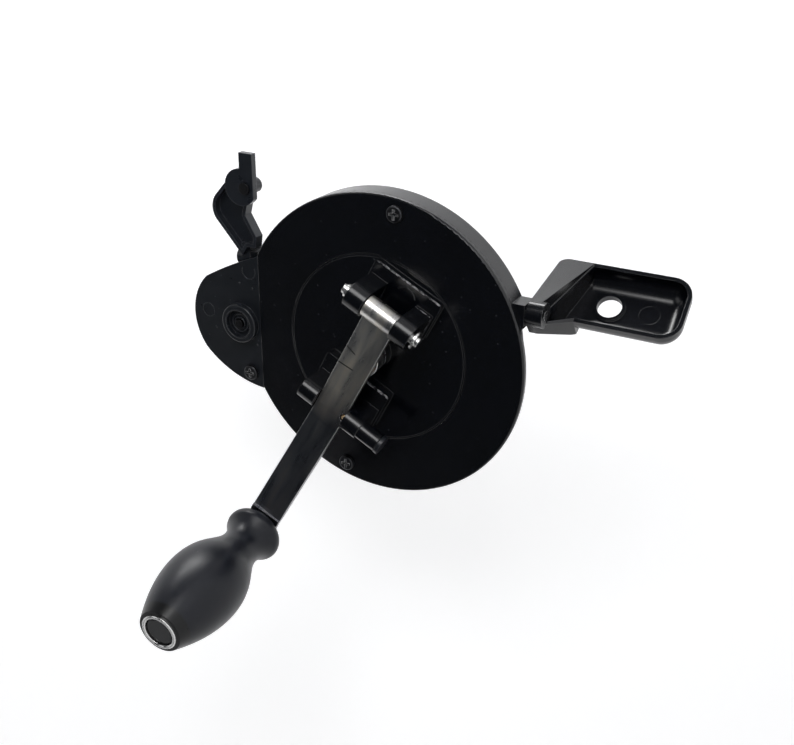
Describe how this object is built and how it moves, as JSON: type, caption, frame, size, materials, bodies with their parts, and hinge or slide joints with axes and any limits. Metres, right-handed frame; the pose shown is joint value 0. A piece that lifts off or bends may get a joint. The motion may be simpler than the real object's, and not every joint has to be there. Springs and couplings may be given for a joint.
{
  "type": "crank strap winder",
  "caption": "Round hand-cranked strap winder with folding crank arm, pear-shaped grip, geared reel, roller inlet and two swivel wall brackets.",
  "frame": {"origin": "centre of the case's flat back, on the reel's axis", "axes": "+Z towards the strap inlet, -Y towards the crank side, +X towards the swivel brackets"},
  "size_m": [0.1905, 0.157, 0.2245],
  "materials": {
    "black_gloss": "gloss black moulding",
    "black_satin": "satin black moulding",
    "steel": "dark nickel-plated steel strip",
    "bright_steel": "bright zinc-plated steel",
    "black_steel": "black-coated steel",
    "brass": "worn brass",
    "nylon": "natural nylon"
  },
  "bodies": {
    "bracket": {"lower_bracket": "black_gloss"},
    "case": {"front_cover": "black_gloss", "rear_shell": "black_gloss", "guide_cover": "black_satin", "cover_screws": "black_steel", "guide_screw": "black_steel", "roller_axle": "black_steel", "planet_carrier": "bright_steel", "planet_pins": "bright_steel", "brake_spring": "bright_steel", "lower_pivot": "bright_steel", "upper_pivot": "bright_steel"},
    "roller": {"guide_roller": "nylon"},
    "reel": {"reel": "nylon", "reel_front_flange": "nylon", "reel_back_flange": "nylon"},
    "planet_1": {"planet_gear_1": "nylon"},
    "planet_2": {"planet_gear_2": "nylon"},
    "planet_3": {"planet_gear_3": "nylon"},
    "crank": {"crank_hub": "black_satin", "spindle": "brass", "sun_gear": "bright_steel", "axle_nut": "bright_steel", "front_bush": "nylon", "hinge_pin": "bright_steel", "pin_clip": "bright_steel"},
    "arm": {"crank_arm": "steel", "grip_rivet": "bright_steel"},
    "handle": {"grip": "black_satin", "grip_ring": "bright_steel", "grip_cap": "black_gloss"},
    "latch": {"latch_pin": "brass", "latch_knob": "black_satin"},
    "upper_link": {"upper_arm": "black_satin", "foot_pin": "black_steel"},
    "foot": {"upper_foot": "black_satin"}
  },
  "joints": [
    {"name": "case_swivel", "type": "hinge", "parent": "bracket", "child": "case", "pos_m": [0.0285, -0.0184, 0], "axis": [0, 0, 1], "range_deg": [-45, 50]},
    {"name": "upper_swivel", "type": "hinge", "parent": "case", "child": "upper_link", "pos_m": [0.0285, -0.0184, 0.07], "axis": [0, 0, 1], "range_deg": [0, 90]},
    {"name": "foot_turn", "type": "hinge", "parent": "upper_link", "child": "foot", "pos_m": [0.0635, -0.0265, 0.0648], "axis": [0, 1, 0], "range_deg": [-75, 75]},
    {"name": "roller_spin", "type": "hinge", "parent": "case", "child": "roller", "pos_m": [-0.0021, -0.013, 0.072], "axis": [0, -1, 0], "continuous": true},
    {"name": "crank_spin", "type": "hinge", "parent": "case", "child": "crank", "pos_m": [0, -0.026, 0], "axis": [0, -1, 0], "continuous": true},
    {"name": "reel_spin", "type": "hinge", "parent": "case", "child": "reel", "pos_m": [0, -0.013, 0], "axis": [0, -1, 0], "continuous": true},
    {"name": "crank_fold", "type": "hinge", "parent": "crank", "child": "arm", "pos_m": [0.02437, -0.0425, -0.01207], "axis": [0.4439, 0, 0.8961], "range_deg": [0, 170]},
    {"name": "grip_spin", "type": "hinge", "parent": "arm", "child": "handle", "pos_m": [-0.09051, -0.0575, 0.04483], "axis": [-0.0559, -0.997, -0.054], "continuous": true},
    {"name": "latch_pull", "type": "slide", "parent": "crank", "child": "latch", "axis": [-0.4439, 0, -0.8961], "range_m": [0, 0.004], "stiffness_N_per_m": 400, "springref_m": -0.002},
    {"name": "planet_1_spin", "type": "hinge", "parent": "case", "child": "planet_1", "pos_m": [0, -0.015, 0.0135], "axis": [0, -1, 0], "continuous": true},
    {"name": "planet_2_spin", "type": "hinge", "parent": "case", "child": "planet_2", "pos_m": [-0.01169, -0.015, -0.00675], "axis": [0, -1, 0], "continuous": true},
    {"name": "planet_3_spin", "type": "hinge", "parent": "case", "child": "planet_3", "pos_m": [0.01169, -0.015, -0.00675], "axis": [0, -1, 0], "continuous": true}
  ],
  "couplings": [
    {"joint": "reel_spin", "follows": "crank_spin", "ratio": -0.28571},
    {"joint": "planet_1_spin", "follows": "crank_spin", "ratio": -0.8},
    {"joint": "planet_2_spin", "follows": "crank_spin", "ratio": -0.8},
    {"joint": "planet_3_spin", "follows": "crank_spin", "ratio": -0.8}
  ]
}
